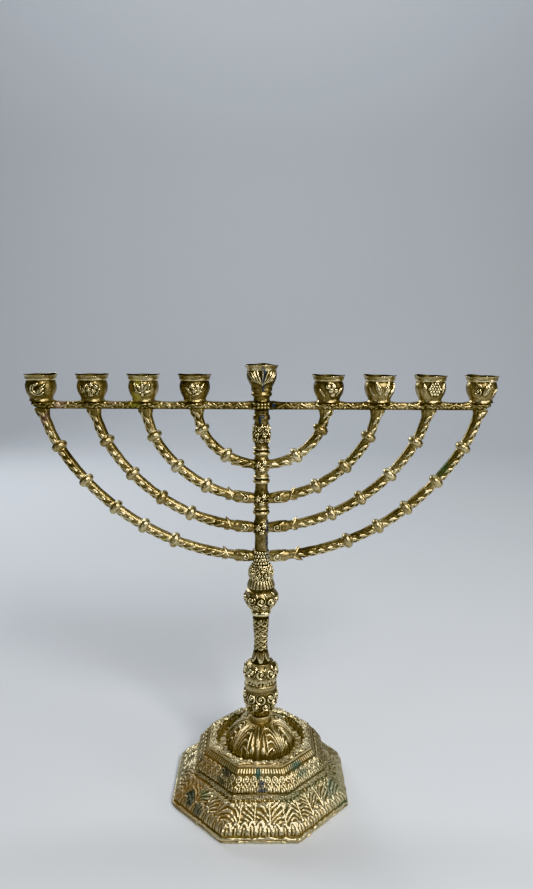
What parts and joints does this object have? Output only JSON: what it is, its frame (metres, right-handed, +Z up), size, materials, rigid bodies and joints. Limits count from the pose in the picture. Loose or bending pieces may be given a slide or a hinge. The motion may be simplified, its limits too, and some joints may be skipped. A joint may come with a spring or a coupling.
{
  "type": "menorah",
  "caption": "Branched brass candelabrum: octagonal stepped base, knopped stem, curved arms rising to a crossbar with a row of candle cups and a raised centre cup.",
  "frame": {"origin": "centre of the base's underside, on the surface it stands on", "axes": "+Z up along the stem, +X along the row of cups to the viewer's right, the decorated front faces -Y"},
  "size_m": [0.2692, 0.106, 0.262],
  "materials": {
    "cup_brass": "cast brass, aged, with raised plant relief",
    "base_brass": "cast brass, aged, with fluting, palmettes and green patina",
    "stem_brass": "cast brass, polished on the high spots and dark in the recesses",
    "arm_brass": "cast brass, aged, with a twining leaf relief",
    "steel": "plain steel fastener"
  },
  "bodies": {
    "root": {"arm_left_inner": "arm_brass", "arm_left_outer": "arm_brass", "arm_left_second": "arm_brass", "arm_left_third": "arm_brass", "arm_right_inner": "arm_brass", "arm_right_outer": "arm_brass", "arm_right_second": "arm_brass", "arm_right_third": "arm_brass", "centre_column": "stem_brass", "crossbar": "arm_brass", "cup_left_inner": "cup_brass", "cup_left_outer": "cup_brass", "cup_left_second": "cup_brass", "cup_left_third": "cup_brass", "cup_right_inner": "cup_brass", "cup_right_outer": "cup_brass", "cup_right_second": "cup_brass", "cup_right_third": "cup_brass", "domed_foot": "base_brass", "flower_knop": "stem_brass", "fluted_collar": "stem_brass", "hex_nut": "steel", "knop_ring": "stem_brass", "lower_knop": "stem_brass", "octagonal_base": "base_brass", "scroll_knop": "stem_brass", "shamash_cup": "cup_brass", "stem_shaft": "stem_brass", "tie_rod": "steel", "upper_knop": "stem_brass", "washer": "steel"}
  },
  "joints": []
}
